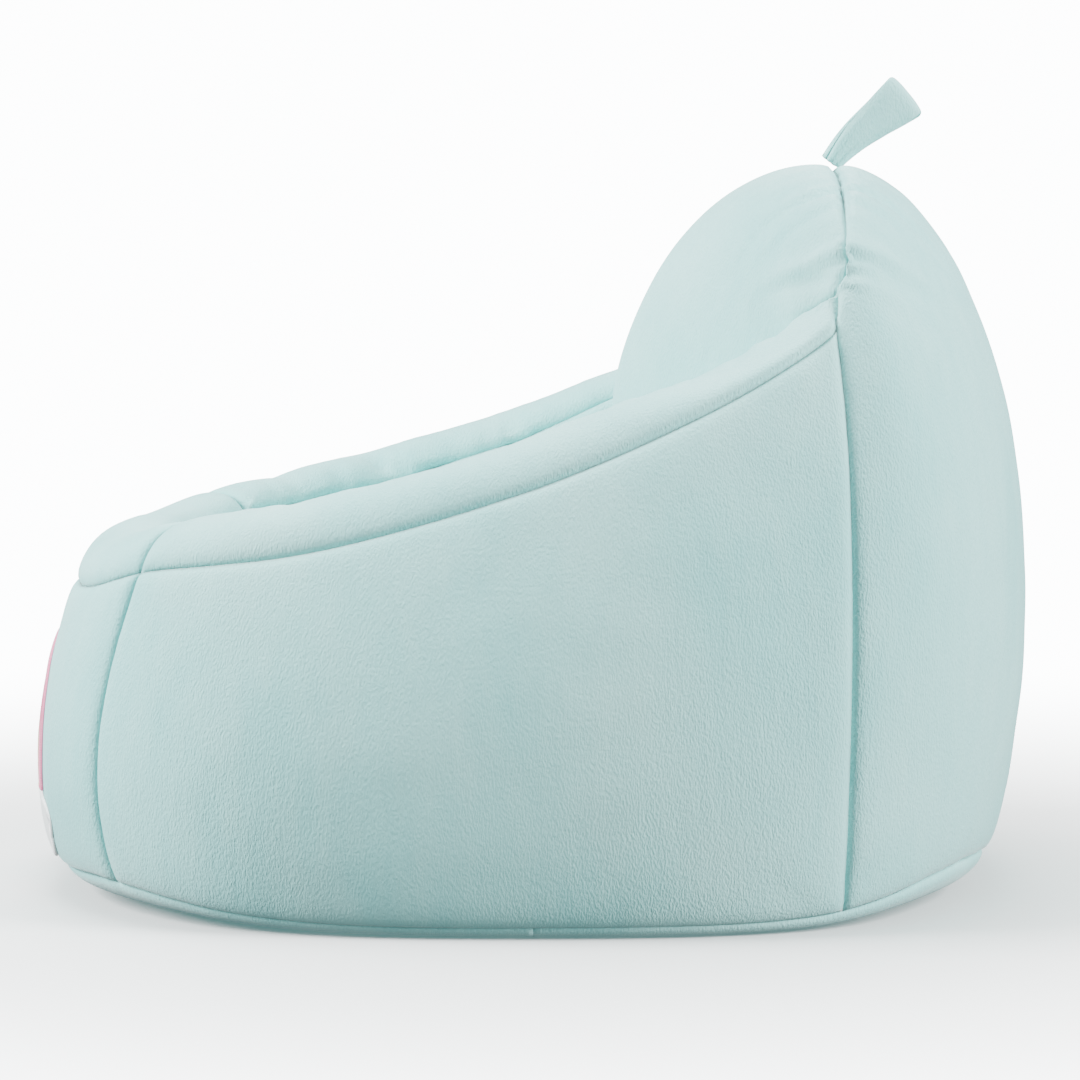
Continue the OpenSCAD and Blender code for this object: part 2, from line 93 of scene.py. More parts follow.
FLOOR_SIZE, FLOOR_DROP = 24.0, 0.0005
floor_mesh = bpy.data.meshes.new("floor")
floor_form = bmesh.new()
bmesh.ops.create_grid(floor_form, x_segments=1, y_segments=1, size=FLOOR_SIZE / 2)
floor_form.to_mesh(floor_mesh)
floor_form.free()
floor = bpy.data.objects.new("floor", floor_mesh)
bpy.context.scene.collection.objects.link(floor)
floor.location.z = -FLOOR_DROP


class Wire:
    """A shader socket that can be used in sums."""

    def __init__(self, kit, socket):
        self.kit, self.socket = kit, socket

    def __add__(self, other):
        return self.kit.sum("ADD", self, other)

    def __radd__(self, other):
        return self.kit.sum("ADD", other, self)

    def __sub__(self, other):
        return self.kit.sum("SUBTRACT", self, other)

    def __rsub__(self, other):
        return self.kit.sum("SUBTRACT", other, self)

    def __mul__(self, other):
        return self.kit.sum("MULTIPLY", self, other)

    def __rmul__(self, other):
        return self.kit.sum("MULTIPLY", other, self)


class Cloth:
    """A new material: node() adds any node, and an expression on wires adds Math nodes."""

    def __init__(self, name):
        self.material = bpy.data.materials.new(name)
        self.material.use_nodes = True
        self.tree = self.material.node_tree
        self.shader = self.tree.nodes["Principled BSDF"]

    def node(self, kind, settings=None, inputs=None, out=0):
        made = self.tree.nodes.new(kind)
        for key, value in (settings or {}).items():
            setattr(made, key, value)
        for key, value in (inputs or {}).items():
            self.plug(made.inputs[key], value)
        return Wire(self, made.outputs[out])

    def plug(self, socket, value):
        if isinstance(value, Wire):
            self.tree.links.new(value.socket, socket)
        else:
            socket.default_value = value

    def sum(self, operation, a, b):
        return self.node("ShaderNodeMath", {"operation": operation}, {0: a, 1: b})

    def mix(self, share, a, b):
        return self.node("ShaderNodeMix", {"data_type": "RGBA"}, {0: share, 6: a, 7: b}, 2)

    def place(self, scale=(1, 1, 1)):
        where = self.node("ShaderNodeTexCoord", out=3)
        return self.node("ShaderNodeMapping", {}, {0: where, "Scale": scale})

    def grain(self, scale, detail=2.0, stretch=(1, 1, 1)):
        return self.node("ShaderNodeTexNoise", {},
                         {"Vector": self.place(stretch), "Scale": scale, "Detail": detail})

    def stripes(self, way, scale, **settings):
        return self.node("ShaderNodeTexWave", {"bands_direction": way},
                         {"Vector": self.place(), "Scale": scale, **settings})

    def bump(self, height, depth, strength=1.0):
        relief = self.node("ShaderNodeBump", {}, {"Height": height, "Distance": depth, "Strength": strength})
        self.plug(self.shader.inputs["Normal"], relief)

    def finish(self, colour, rough, **constants):
        self.plug(self.shader.inputs["Base Color"], colour)
        self.plug(self.shader.inputs["Roughness"], rough)
        for key, value in constants.items():
            self.shader.inputs[key.replace("_", " ")].default_value = value
        return self.material


def shade(red, green, blue):
    """A colour given in screen values from 0 to 255."""
    def linear(v):
        v /= 255
        return v / 12.92 if v <= 0.04045 else ((v + 0.055) / 1.055) ** 2.4
    return (linear(red), linear(green), linear(blue), 1)


studio = Cloth("studio_floor")
floor_tone = studio.mix(studio.grain(1.5), shade(246, 249, 249), shade(250, 252, 252))
floor_mesh.materials.append(studio.finish(floor_tone, 0.6))
# The floor fades out into the backdrop away from the chair, and is clear from below and to light.
FLOOR_FADE = 1.5
from_middle = studio.node("ShaderNodeTexGradient", {"gradient_type": "SPHERICAL"},
                          {"Vector": studio.place((1 / FLOOR_FADE, 1 / FLOOR_FADE, 1))})
below = studio.node("ShaderNodeNewGeometry", out=6)
soft_edge = studio.node("ShaderNodeMapRange", {"interpolation_type": "SMOOTHSTEP"},
                        {"Value": from_middle, "From Min": 0.05, "From Max": 0.75})
looked_at = studio.node("ShaderNodeLightPath")
studio.plug(studio.shader.inputs["Alpha"], soft_edge * (1 - below) * looked_at)

# The cover is sewn from short-pile plush. The pile lies downwards, so it streaks gently up and
# down, is paler where it catches the light edge on, and is rubbed flat in soft patches.
AQUA = shade(162, 226, 222)
AQUA_DEEP = shade(136, 209, 208)
AQUA_PALE = shade(196, 241, 236)


def plush():
    cloth = Cloth("plush")
    streaks = cloth.grain(95.0, 3.0, (1, 1, 0.22))
    patches = cloth.grain(9.0, 2.0, (1, 1, 0.6))
    pile = cloth.grain(760.0, 2.0, (1, 1, 0.45))
    tone = cloth.mix((streaks - 0.3) * 1.1, AQUA_DEEP, AQUA)
    tone = cloth.mix((patches - 0.35) * 1.2, tone, AQUA_PALE)
    tone = cloth.mix((pile - 0.2) * 0.7, tone, AQUA_DEEP)
    cloth.bump(pile * 0.7 + streaks * 0.3, 0.0017, 0.75)
    return cloth.finish(tone, streaks * 0.12 + 0.82, Sheen_Weight=0.45, Sheen_Roughness=0.45,
                        Sheen_Tint=shade(240, 250, 250), Specular_IOR_Level=0.15)


plush_cloth = plush()

# The whole skin of the chair is shaped first, as one form in millimetres. Columns of points run
# round it, from the right back seam over the back, the left side and the front, and rows run up
# from the floor over the rim and down to the seat. Each seam follows one column or one row.
BACK_TURN, FRONT_TURN = 40.0, 138.0
BACK_COLUMNS, SIDE_COLUMNS = 12, 14
COLUMNS = 2 * BACK_COLUMNS + 2 * SIDE_COLUMNS
SEAM_ROW, ARM_ROW, CREST_ROW, SEAT_ROW = 2, 11, 15, 23
WALL_ROWS, BAND_ROWS, INNER_ROWS = 9, 4, 8
BASE_FRONT, BASE_BACK, BASE_HALF = 335.0, 313.0, 293.0
RIM_FRONT, RIM_HALF, RIM_LOW = 326.0, 262.0, 209.0
ARM_END = Vector((194.0, 0.0, 394.0))
ARCH_END = Vector((197.0, 205.0, 416.0))
ARCH_TOP = 497.0
SEAT_TOP, SEAT_HALF = 200.0, 165.0
SHIFT = Vector((4.4, 0.0, 0.0))
UP = Vector((0, 0, 1))


def cosd(a):
    return math.cos(math.radians(a))


def sind(a):
    return math.sin(math.radians(a))


def through(stations, at):
    """A number that goes smoothly through stations (place, value)."""
    if at <= stations[0][0]:
        return stations[0][1]
    if at >= stations[-1][0]:
        return stations[-1][1]
    slopes = [0.0] + [(stations[min(i + 1, len(stations) - 1)][1] - stations[i - 1][1])
                      / (stations[min(i + 1, len(stations) - 1)][0] - stations[i - 1][0])
                      for i in range(1, len(stations))]
    i = max(k for k in range(len(stations) - 1) if stations[k][0] <= at)
    (x0, y0), (x1, y1) = stations[i], stations[i + 1]
    h = x1 - x0
    t = (at - x0) / h
    return ((2 * t**3 - 3 * t**2 + 1) * y0 + (t**3 - 2 * t**2 + t) * h * slopes[i]
            + (3 * t**2 - 2 * t**3) * y1 + (t**3 - t**2) * h * slopes[i + 1])


def blend(front, side, back, u):
    f = max(0.0, -cosd(u)) ** 2
    b = cosd(min(90.0, 90 * abs(u) / (1.35 * BACK_TURN))) ** 2
    return front * f + side * (1 - f - b) + back * b


def power(value, exponent):
    return math.copysign(abs(value) ** exponent, value)


def plan(angle, front, back, half, roundness=2.5):
    c, s = cosd(angle), sind(angle)
    return Vector(((front if c < 0 else back) * power(c, 2 / roundness), half * power(s, 2 / roundness), 0))


def bezier(a, b, c, d, t):
    return a * (1 - t) ** 3 + b * 3 * (1 - t) ** 2 * t + c * 3 * (1 - t) * t * t + d * t**3


BASE_TURN, RIM_TURN = 57.0, 51.3
BASE_LIFT = [(0, 18), (30, 24), (57, 3), (90, 0.5), (115, 4), (145, 19), (165, 16), (180, 16)]
ARM_RISE = [(0, 0), (0.12, 0.11), (0.33, 0.2), (0.51, 0.34), (0.65, 0.47), (0.82, 0.7), (0.94, 0.89), (1, 1)]
INNER_RISE = [(40, 0), (60, 2), (90, 10), (130, 14), (180, 22)]
BAND_RISE = [(40, 0), (52, 0.1), (62, 0.45), (75, 1.1), (92, 1.22), (110, 1.25), (128, 0.95), (180, 1)]
SWAY = [(0, 0), (40, 9), (70, 5), (110, 5), (138, 9), (180, 0)]
RIM_BACK = ARM_END.x / power(cosd(RIM_TURN), 0.8)


def spread(u, start):
    a = abs(u)
    turned = start * a / BACK_TURN if a < BACK_TURN else (
        start + (180 - start) * (a - BACK_TURN) / (180 - BACK_TURN))
    return math.copysign(turned, u)


def base_seam(u):
    a = spread(u, BASE_TURN)
    return plan(a, BASE_FRONT, BASE_BACK, BASE_HALF, 2.65) + UP * through(BASE_LIFT, abs(a))


def outward(u):
    p = plan(spread(u, BASE_TURN), BASE_FRONT, BASE_BACK, BASE_HALF)
    return Vector((p.x / (1.08 * BASE_BACK) ** 2, p.y / BASE_HALF**2, 0)).normalized()


def rim(u):
    return plan(spread(u, RIM_TURN), RIM_FRONT, RIM_BACK, RIM_HALF)


def rim_inward(u):
    p = rim(u)
    return -Vector((p.x / RIM_FRONT**2, p.y / RIM_HALF**2, 0)).normalized()


def arm_seam(u):
    p = rim(u)
    share = (p.x + RIM_FRONT) / (ARM_END.x + RIM_FRONT)
    return p + UP * (RIM_LOW + (ARM_END.z - RIM_LOW) * through(ARM_RISE, share))


def arch_seam(u):
    a = 90 * u / BACK_TURN
    return Vector((ARCH_END.x + 11 * cosd(a), ARCH_END.y * sind(a),
                   ARCH_END.z + (ARCH_TOP - ARCH_END.z) * max(0.0, cosd(a)) ** 0.9))


def band_share(u):
    e = min(1.0, (abs(u) - BACK_TURN) / 32)
    return math.sqrt(1 - (1 - e) ** 2)


def inner_seam(u):
    if abs(u) < BACK_TURN:
        return arch_seam(u)
    k = band_share(u)
    tip = Vector((ARCH_END.x - ARM_END.x, -math.copysign(arm_seam(BACK_TURN).y - ARCH_END.y, u),
                  ARCH_END.z - ARM_END.z))
    full = rim_inward(u) * blend(92, 74, 60, u) + UP * through(INNER_RISE, abs(u))
    return arm_seam(u) + tip * (1 - k) + full * k


def seat_seam(u):
    return plan(u, 205, 88, SEAT_HALF, 2.6) + UP * (SEAT_TOP - blend(10, 10, -5, u))


def wall(u, t):
    b, o = base_seam(u), outward(u)
    e = arch_seam(u) if abs(u) < BACK_TURN else arm_seam(u)
    h = e.z - b.z
    along = UP.cross(o) * (math.copysign(1, u) * through(SWAY, abs(u)) * sind(180 * t))
    return along + bezier(b, b + o * blend(24, 22, 52, u) + UP * 0.33 * h,
                          e + o * blend(18, 37, 135, u) - UP * h * blend(0.35, 0.35, 0.05, u), e, t)


def band(u, t):
    a, i, inward, k = arm_seam(u), inner_seam(u), rim_inward(u), band_share(u)
    lean = (i - a) * (1 - k) / 3
    rise = UP * k * through(BAND_RISE, abs(u))
    return bezier(a, a + lean + inward * blend(0, 4, 4, u) * k + rise * blend(48, 32, 20, u),
                  i - lean - inward * blend(8, 10, 4, u) * k + rise * blend(34, 28, 20, u), i, t)


def inner(u, t):
    i, s, o, inward = inner_seam(u), seat_seam(u), outward(u), rim_inward(u)
    w = cosd(min(90.0, 90 * abs(u) / (1.5 * BACK_TURN))) ** 1.2
    return bezier(i, i - o * 118 * w + UP * (18 * w - 42 * (1 - w)) + inward * 8 * (1 - w),
                  s - o * 100 * w + UP * (112 * w + 28 * (1 - w)) + o * 6 * (1 - w), s, t)


def column_turn(c):
    back, side = BACK_COLUMNS, SIDE_COLUMNS
    if c <= back:
        u = -BACK_TURN + 2 * BACK_TURN * c / back
    elif c <= back + side:
        u = BACK_TURN + (FRONT_TURN - BACK_TURN) * (c - back) / side
    elif c <= 2 * back + side:
        u = FRONT_TURN + 2 * (180 - FRONT_TURN) * (c - back - side) / back
    else:
        u = 360 - FRONT_TURN + (FRONT_TURN - BACK_TURN) * (c - 2 * back - side) / side
    return u - 360 if u > 180 else u


def skin_point(c, j):
    u = column_turn(c)
    b = base_seam(u)
    if j == 0:
        point = Vector((b.x * 0.84, b.y * 0.84, 0))
    elif j == 1:
        point = Vector((b.x * 0.93, b.y * 0.93, 0.3 * b.z))
    elif j > CREST_ROW:
        point = inner(u, (j - CREST_ROW) / INNER_ROWS)
    elif abs(u) < BACK_TURN:
        share = 1 - 0.05 - 0.1 * (1 - (abs(u) / BACK_TURN) ** 2)
        t = (share * (j - SEAM_ROW) / WALL_ROWS if j <= ARM_ROW
             else share + (1 - share) * (j - ARM_ROW) / BAND_ROWS)
        point = wall(u, t)
    elif j <= ARM_ROW:
        point = wall(u, (j - SEAM_ROW) / WALL_ROWS)
    else:
        point = band(u, (j - ARM_ROW) / BAND_ROWS)
    return (point + SHIFT) / 1000


def grid_piece(across, along, point, label=None):
    """A grid of faces whose corners lie at point(i, j), with label(i, j) as each face's number."""
    made = bmesh.new()
    bmesh.ops.create_grid(made, x_segments=across, y_segments=along, size=1)
    for vert in made.verts:
        i = round((vert.co.x + 1) / 2 * across)
        j = round((vert.co.y + 1) / 2 * along)
        vert.co = Vector((i, j, 0))
    if label:
        for face in made.faces:
            middle = face.calc_center_median()
            face.material_index = label(int(middle.x), int(middle.y))
    for vert in made.verts:
        vert.co = point(round(vert.co.x), round(vert.co.y))
    return made


PANELS = ["front_panel", "side_panel_right", "side_panel_left", "back_panel", "front_band",
          "arm_band_right", "arm_band_left", "inner_wall_panel", "seat_panel", "backrest_panel", "base_panel"]
NUMBER = {name: k for k, name in enumerate(PANELS)}


def wall_label(c, j):
    if j < SEAM_ROW:
        return NUMBER["base_panel"]
    back = c < BACK_COLUMNS
    left = c < BACK_COLUMNS + SIDE_COLUMNS
    front = c < 2 * BACK_COLUMNS + SIDE_COLUMNS
    if j >= CREST_ROW:
        return NUMBER["backrest_panel" if back else "inner_wall_panel"]
    if back:
        return NUMBER["back_panel"]
    if j >= ARM_ROW:
        return NUMBER["arm_band_left" if left else "front_band" if front else "arm_band_right"]
    return NUMBER["side_panel_left" if left else "front_panel" if front else "side_panel_right"]


def ring_column(s, t):
    if t == 0:
        return s
    if s == BACK_COLUMNS:
        return BACK_COLUMNS + t
    if t == SIDE_COLUMNS:
        return 2 * BACK_COLUMNS + SIDE_COLUMNS - s
    return (COLUMNS - t) % COLUMNS


def disc_point(s, t, row, crown):
    if s in (0, BACK_COLUMNS) or t in (0, SIDE_COLUMNS):
        return skin_point(ring_column(s, t), row)
    a, b = s / BACK_COLUMNS, t / SIDE_COLUMNS
    rear, front = skin_point(ring_column(s, 0), row), skin_point(ring_column(s, SIDE_COLUMNS), row)
    right, left = skin_point(ring_column(0, t), row), skin_point(ring_column(BACK_COLUMNS, t), row)
    corners = ((skin_point(0, row) * (1 - a) + skin_point(BACK_COLUMNS, row) * a) * (1 - b)
               + (skin_point(2 * BACK_COLUMNS + SIDE_COLUMNS, row) * (1 - a)
                  + skin_point(BACK_COLUMNS + SIDE_COLUMNS, row) * a) * b)
    return (rear * (1 - b) + front * b + right * (1 - a) + left * a - corners
            + UP * crown * 16 * a * (1 - a) * b * (1 - b))


def join_forms(forms):
    whole = bmesh.new()
    for made in forms:
        mesh = bpy.data.meshes.new("part")
        made.to_mesh(mesh)
        made.free()
        whole.from_mesh(mesh)
        bpy.data.meshes.remove(mesh)
    return whole


SEAT_CROWN = 0.012
whole = join_forms([
    grid_piece(COLUMNS, SEAT_ROW, lambda i, j: skin_point(i % COLUMNS, j), wall_label),
    grid_piece(BACK_COLUMNS, SIDE_COLUMNS, lambda i, j: disc_point(i, j, SEAT_ROW, SEAT_CROWN),
               lambda i, j: NUMBER["seat_panel"]),
    grid_piece(BACK_COLUMNS, SIDE_COLUMNS, lambda i, j: disc_point(i, j, 0, 0),
               lambda i, j: NUMBER["base_panel"])])
bmesh.ops.remove_doubles(whole, verts=whole.verts, dist=1e-6)
bmesh.ops.recalc_face_normals(whole, faces=whole.faces)
SMOOTH_LEVELS = 3
rough_mesh = bpy.data.meshes.new("rough_skin")
whole.to_mesh(rough_mesh)
whole.free()
rough = bpy.data.objects.new("rough_skin", rough_mesh)
bpy.context.scene.collection.objects.link(rough)


def smoothed(levels):
    rough.modifiers.clear()
    rounding = rough.modifiers.new("rounding", "SUBSURF")
    rounding.levels = rounding.render_levels = levels
    bpy.context.view_layer.update()
    return bpy.data.meshes.new_from_object(rough.evaluated_get(bpy.context.evaluated_depsgraph_get()))


# Every seam pulls the plush in, so that the panels stand plump on either side of it. Gathers run
# off the seams where the curves are tight, and the slack of the beans leaves a few soft folds.
GROOVE_DEEP, GROOVE_WIDE = 0.0032, 0.0075
SLIT_DEEP, SLIT_WIDE = 0.0022, 0.0026
# Each kind of seam: how deep its gathers are, and how far they run from it.
GATHERS = {
    ("back_panel", "backrest_panel"): (0.0038, 0.034),
    ("back_panel", "base_panel"): (0.0008, 0.022),
    ("front_panel", "base_panel"): (0.0008, 0.022),
    ("side_panel_right", "base_panel"): (0.0006, 0.020),
    ("side_panel_left", "base_panel"): (0.0006, 0.020),
    ("arm_band_right", "inner_wall_panel"): (0.0044, 0.024),
    ("arm_band_left", "inner_wall_panel"): (0.0044, 0.024),
    ("front_band", "inner_wall_panel"): (0.0036, 0.022),
    ("inner_wall_panel", "seat_panel"): (0.0034, 0.022),
    ("backrest_panel", "seat_panel"): (0.0034, 0.022),
    ("inner_wall_panel", "backrest_panel"): (0.0040, 0.026)}
PLAIN_GATHER = (0.0004, 0.014)
# Folds: from, to, how deep and how wide, in metres. A minus depth stands proud.
FOLDS = [
    # creases that run down the inside of both arms, from the crest
    ((-0.205, 0.196, 0.275), (-0.150, 0.165, 0.235), 0.0050, 0.010),
    ((-0.130, 0.205, 0.296), (-0.085, 0.168, 0.243), 0.0085, 0.011),
    ((-0.110, 0.205, 0.300), (-0.068, 0.172, 0.250), -0.0030, 0.010),
    ((-0.030, 0.207, 0.320), (0.005, 0.172, 0.268), 0.0065, 0.012),
    ((0.070, 0.200, 0.350), (0.085, 0.165, 0.300), 0.0050, 0.012),
    ((-0.160, -0.200, 0.283), (-0.115, -0.165, 0.238), 0.0060, 0.011),
    ((-0.060, -0.207, 0.312), (-0.020, -0.170, 0.258), 0.0075, 0.011),
    ((0.040, -0.203, 0.338), (0.065, -0.168, 0.285), 0.0055, 0.012),
    # slanting wrinkles in the upper back corner of each side
    ((0.120, -0.262, 0.330), (0.185, -0.242, 0.372), 0.0022, 0.010),
    ((0.130, -0.270, 0.305), (0.190, -0.250, 0.345), 0.0016, 0.009),
    ((0.120, 0.262, 0.330), (0.185, 0.242, 0.372), 0.0022, 0.010),
    ((0.130, 0.270, 0.305), (0.190, 0.250, 0.345), 0.0016, 0.009),
    # the second crease beside the corner seams of the front band
    ((-0.242, -0.178, 0.238), (-0.205, -0.140, 0.268), 0.0034, 0.0045),
    ((-0.242, 0.178, 0.238), (-0.205, 0.140, 0.268), 0.0034, 0.0045),
    # the tuck where each arm runs under the backrest
    ((0.150, -0.212, 0.392), (0.205, -0.206, 0.420), 0.0050, 0.008),
    ((0.150, 0.212, 0.392), (0.205, 0.206, 0.420), 0.0050, 0.008),
    # small folds at the foot of the back seams
    ((0.215, -0.262, 0.040), (0.245, -0.245, 0.014), 0.0020, 0.007),
    ((0.160, -0.284, 0.030), (0.190, -0.272, 0.010), 0.0018, 0.007),
    ((0.215, 0.262, 0.040), (0.245, 0.245, 0.014), 0.0020, 0.007)]
FOLD_GAIN, FOLD_SHARPNESS = 1.15, 0.75
FOLD_ENDS, FOLD_MIDDLE, FOLD_LEAD, FOLD_EASE = 0.35, 0.65, 0.15, 0.7
# Creases that cross the arch seam: the height where each meets it, how deep and how wide it is,
# and how far it reaches on both sides, in metres.
ARCH_CREASES = [(0.4840, 0.0066, 0.0050, 0.060), (0.4750, 0.0018, 0.0035, 0.050),
                (0.4400, 0.0036, 0.0050, 0.055), (0.4490, 0.0016, 0.0035, 0.045),
                (0.4270, 0.0026, 0.0045, 0.045)]
CREASE_SWAY, CREASE_SWAY_LENGTH, CREASE_FADE, CREASE_LIP = 0.0022, 0.011, 1.6, 0.55


def crease_places():
    """Each arch crease on both sides: its place on the seam, and the way the seam runs there."""
    steps, places = 200, []
    for high, deep, wide, reach in ARCH_CREASES:
        k = min(range(1, steps), key=lambda k: abs(arch_seam(BACK_TURN * k / steps).z - 1000 * high))
        before, here, after = (arch_seam(BACK_TURN * (k + d) / steps) + SHIFT for d in (-1, 0, 1))
        for side in (-1, 1):
            turned = Vector((1, side, 1))
            places.append((here * turned / 1000, ((after - before) * turned).normalized(), deep, wide, reach))
    return places


CREASES = crease_places()


def fold_depth(point):
    """How far the folds push a point in, in metres."""
    pushed = 0.0
    for place, way, deep, wide, reach in CREASES:
        off = point - place
        aside, down = off.x, off.dot(way) + CREASE_SWAY * math.sin(off.x / CREASE_SWAY_LENGTH)
        if off.length < 1.6 * reach and abs(down) < 5 * wide:
            lip = CREASE_LIP * math.exp(-((down / (1.4 * wide) + 0.9) ** 2))
            tucked = math.exp(-((down / wide - 0.4) ** 2)) - lip
            pushed += deep * tucked * math.exp(-((aside / reach) ** 2) * CREASE_FADE)
    for start, end, deep, wide in FOLDS:
        a, b = Vector(start), Vector(end)
        way = b - a
        t = max(0.0, min(1.0, (point - a).dot(way) / way.length_squared))
        off = (point - a - way * t).length
        if off < 3 * wide:
            swell = math.sin(math.pi * min(1, t + FOLD_LEAD)) ** FOLD_EASE
            pressed = FOLD_GAIN * deep * math.exp(-off / (FOLD_SHARPNESS * wide))
            pushed += pressed * (FOLD_ENDS + FOLD_MIDDLE * swell)
    return pushed


def sewn(mesh, sink=0.0):
    """Presses seams, gathers and folds into a smoothed skin, and sinks it by a fixed depth."""
    made = bmesh.new()
    made.from_mesh(mesh)
    made.normal_update()
    seams, kinds = [], []
    for edge in made.edges:
        numbers = sorted({face.material_index for face in edge.link_faces})
        if len(numbers) == 2:
            pair = tuple(PANELS[n] for n in numbers)
            seams.append((edge.verts[0].co + edge.verts[1].co) / 2)
            kinds.append(GATHERS.get(pair) or GATHERS.get(pair[::-1]) or PLAIN_GATHER)
            seams.extend(v.co.copy() for v in edge.verts)
            kinds.extend([kinds[-1]] * 2)
    tree = kdtree.KDTree(len(seams))
    for k, place in enumerate(seams):
        tree.insert(place, k)
    tree.balance()
    moves = []
    for vert in made.verts:
        near, k, off = tree.find(vert.co)
        deep, far = kinds[k]
        pressed = GROOVE_DEEP * math.exp(-off / GROOVE_WIDE) + SLIT_DEEP * math.exp(-((off / SLIT_WIDE) ** 2))
        ripple = noise.noise(near * 60.0) + 0.5 * noise.noise(near * 130.0 + Vector((7, 3, 1)))
        gather = deep * ripple * math.exp(-off / far) * min(1.0, off / 0.004)
        soft = 0.0014 * noise.noise(vert.co * 9.0) + 0.0006 * noise.noise(vert.co * 26.0)
        floor_share = min(1.0, max(0.0, vert.co.z / 0.03))
        shift = -pressed * (0.3 + 0.7 * floor_share) + (gather + soft) * floor_share
        moves.append(vert.normal * (shift - fold_depth(vert.co) - sink))
    for vert, move in zip(made.verts, moves):
        vert.co += move
        vert.co.z = max(vert.co.z, sink)
    made.normal_update()
    return made


def keep_piece(name, made, body="cover", material=None, stands_for=(), smooth=True):
    """Turns a finished form into a piece of the chair, riding on its body."""
    mesh = bpy.data.meshes.new(name)
    made.to_mesh(mesh)
    made.free()
    mesh.materials.clear()
    mesh.materials.append(material)
    mesh.polygons.foreach_set("material_index", [0] * len(mesh.polygons))
    mesh.polygons.foreach_set("use_smooth", [smooth] * len(mesh.polygons))
    piece = bpy.data.objects.new(name, mesh)
    bpy.context.scene.collection.objects.link(piece)
    if stands_for:
        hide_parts(*stands_for)
    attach(piece, body)
    return piece


def thicken(piece, thickness):
    """Gives a sheet its thickness, inwards."""
    wall_of_cloth = piece.modifiers.new("cloth_thickness", "SOLIDIFY")
    wall_of_cloth.thickness = thickness
    wall_of_cloth.offset = -1


# The ten upper panels are cut out along the seams. Each is one sheet of plush, stretched over the full liner
# bag.
COVER_T = 0.0024
skin = sewn(smoothed(SMOOTH_LEVELS))


def cut_out(number):
    part = skin.copy()
    bmesh.ops.delete(part, geom=[f for f in part.faces if f.material_index != number], context="FACES")
    return part


for panel in PANELS[:-1]:
    part = cut_out(NUMBER[panel])
    area = sum(f.calc_area() for f in part.faces)
    piece = keep_piece(panel + "_plush", part, material=plush_cloth, stands_for=[panel])
    thicken(piece, COVER_T)

# The base is two half panels of the same plush, with a slot between them for the zip.
SLOT_HALF, ZIP_HALF = 0.008, 0.2
for side, name in ((-1, "base_panel_front"), (1, "base_panel_rear")):
    part = cut_out(NUMBER["base_panel"])
    cuts = (((0, 0, 0), (-side, 0, 0), True), ((side * SLOT_HALF, 0, 0), (1, 0, 0), False),
            ((0, ZIP_HALF, 0), (0, 1, 0), False), ((0, -ZIP_HALF, 0), (0, 1, 0), False))
    for place, way, trim in cuts:
        geom = list(part.verts) + list(part.edges) + list(part.faces)
        bmesh.ops.bisect_plane(part, geom=geom, plane_co=place, plane_no=way, clear_outer=trim)
    inside = [f for f in part.faces if abs(f.calc_center_median().x) < SLOT_HALF
              and abs(f.calc_center_median().y) < ZIP_HALF]
    bmesh.ops.delete(part, geom=inside, context="FACES")
    area = sum(f.calc_area() for f in part.faces)
    piece = keep_piece(name + "_plush", part, material=plush_cloth, stands_for=[name])
    thicken(piece, COVER_T)

# Inside the cover is a thin woven liner bag, and in it are the beans. Neither shows, but both
# have the chair's shape: the liner lies just under the plush and the beans just under the liner.
liner_weave = Cloth("liner_weave")
THREADS = 420.0
warp, weft = liner_weave.stripes("Z", THREADS), liner_weave.stripes("Y", THREADS)
liner_weave.bump(warp * weft, 0.0003, 0.6)
liner_cloth = liner_weave.finish(
    liner_weave.mix(warp * 0.5 + weft * 0.5, shade(224, 224, 216), shade(242, 242, 236)), 0.75)

bead_mix = Cloth("foam_beads")
beads = bead_mix.node("ShaderNodeTexVoronoi", {}, {"Vector": bead_mix.place(), "Scale": 260.0})
bead_mix.bump(1 - beads, 0.002, 0.9)
# The foam is white. The grey towards each bead's edge is painted shade in the gaps between the beads.
bead_foam = bead_mix.finish(bead_mix.mix(beads, shade(252, 252, 250), shade(214, 216, 214)), 0.6)

INNER_LEVELS = 2
LINER_SINK, BEAN_SINK, LINER_T = 0.0065, 0.0090, 0.0005
under_skin = smoothed(INNER_LEVELS)
liner = keep_piece("inner_liner_bag", sewn(under_skin, LINER_SINK), material=liner_cloth,
                   stands_for=["inner_liner"])
thicken(liner, LINER_T)
filling = keep_piece("foam_bead_fill", sewn(under_skin, BEAN_SINK), material=bead_foam,
                     stands_for=["bean_fill"])

# The front carries a sewn picture of a rainbow on two clouds: flat felt shapes, each edged with
# a close satin stitch that stands proud of the felt.
PATCH_LIFT, PATCH_T, NORMAL_REACH = 0.0003, 0.0012, 0.006
front_tree = BVHTree.FromBMesh(skin)


def on_front(y, z, lift):
    """The place that stands off the front panel by a lift, at a width and a height."""
    def touch(yy, zz):
        return front_tree.ray_cast(Vector((-1, yy, zz)), Vector((1, 0, 0)))[0]
    here = touch(y, z)
    across = touch(y + NORMAL_REACH, z) - touch(y - NORMAL_REACH, z)
    upward = touch(y, z + NORMAL_REACH) - touch(y, z - NORMAL_REACH)
    way = upward.cross(across).normalized()
    return here + way * (lift if way.x < 0 else -lift)


def felt(name, deep, pale):
    cloth = Cloth(name)
    fluff, blot = cloth.grain(700.0, 3.0), cloth.grain(60.0, 2.0)
    cloth.bump(fluff, 0.0006, 0.6)
    return cloth.finish(cloth.mix(fluff * 0.5 + blot * 0.5, deep, pale), 0.9, Sheen_Weight=0.3)


def thread(name, deep, pale):
    cloth = Cloth(name)
    # The paler flecks in the thread's colour are painted glints of the satin's gloss.
    painted_glints = cloth.grain(500.0, 1.0)
    return cloth.finish(cloth.mix(painted_glints, deep, pale), 0.42, Sheen_Weight=0.2)


STITCH_HALF, STITCH_PROUD, STITCH_PITCH = 0.0021, 0.0021, 0.0011
STITCH_STEPS, STITCH_ACROSS = 4, 6


